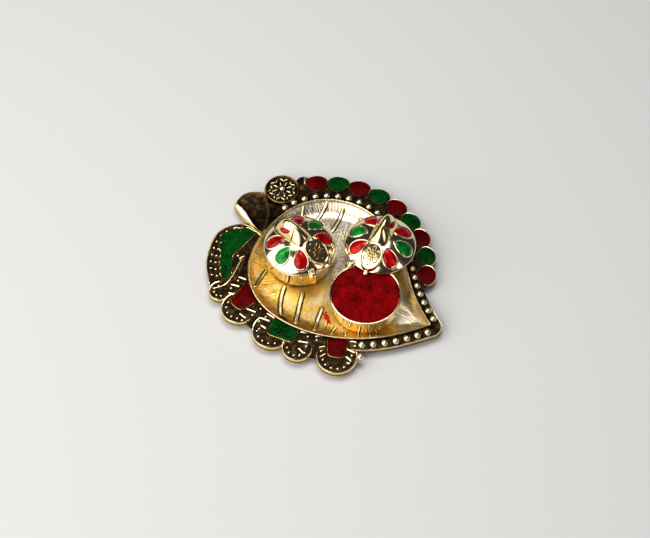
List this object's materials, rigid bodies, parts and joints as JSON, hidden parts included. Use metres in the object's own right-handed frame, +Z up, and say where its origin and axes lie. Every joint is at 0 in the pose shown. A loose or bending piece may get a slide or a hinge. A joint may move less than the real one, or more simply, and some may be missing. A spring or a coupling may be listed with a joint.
{
  "type": "kumkum box",
  "caption": "Gold plated mango-shaped tray with enamelled petal border, carrying round cups for kumkum under domed swivel lids with bird knobs.",
  "frame": {"origin": "midway between the two cups' axes, on the plane that the tray rests on", "axes": "+X along the line of the cups towards the tray's pointed tip, +Y to the side of the petal border, +Z up"},
  "size_m": [0.116, 0.1007, 0.0263],
  "materials": {
    "gold": "gold plated casting, polished on the high places and dark in the hollows",
    "fastener": "gold plated, turned and peened",
    "red_enamel": "glossy ruby enamel over grained metal",
    "green_enamel": "glossy emerald enamel over grained metal",
    "powder": "matte red kumkum powder, lightly clumped"
  },
  "bodies": {
    "base": {"tray": "gold", "cup_left": "gold", "cup_right": "gold", "pivot_pin_left": "fastener", "pivot_pin_right": "fastener", "cup_rivet_left": "fastener", "cup_rivet_right": "fastener", "petal_enamel_red": "red_enamel", "petal_enamel_green": "green_enamel", "fan_enamel_red": "red_enamel", "fan_enamel_green": "green_enamel", "leaf_enamel_green": "green_enamel", "kumkum": "powder"},
    "left_lid": {"lid_left": "gold", "lid_left_enamel_red": "red_enamel", "lid_left_enamel_green": "green_enamel", "bird_left": "gold", "bird_left_eyes": "red_enamel"},
    "right_lid": {"lid_right": "gold", "lid_right_enamel_red": "red_enamel", "lid_right_enamel_green": "green_enamel", "bird_right": "gold", "bird_right_eyes": "red_enamel"}
  },
  "joints": [
    {"name": "left_lid_swivel", "type": "hinge", "parent": "base", "child": "left_lid", "pos_m": [-0.00465, -0.00769, 0.01295], "axis": [0, 0, 1], "range_deg": [0, 115]},
    {"name": "right_lid_swivel", "type": "hinge", "parent": "base", "child": "right_lid", "pos_m": [0.00465, 0.00769, 0.01295], "axis": [0, 0, 1], "range_deg": [-106.5, 8.5]}
  ]
}
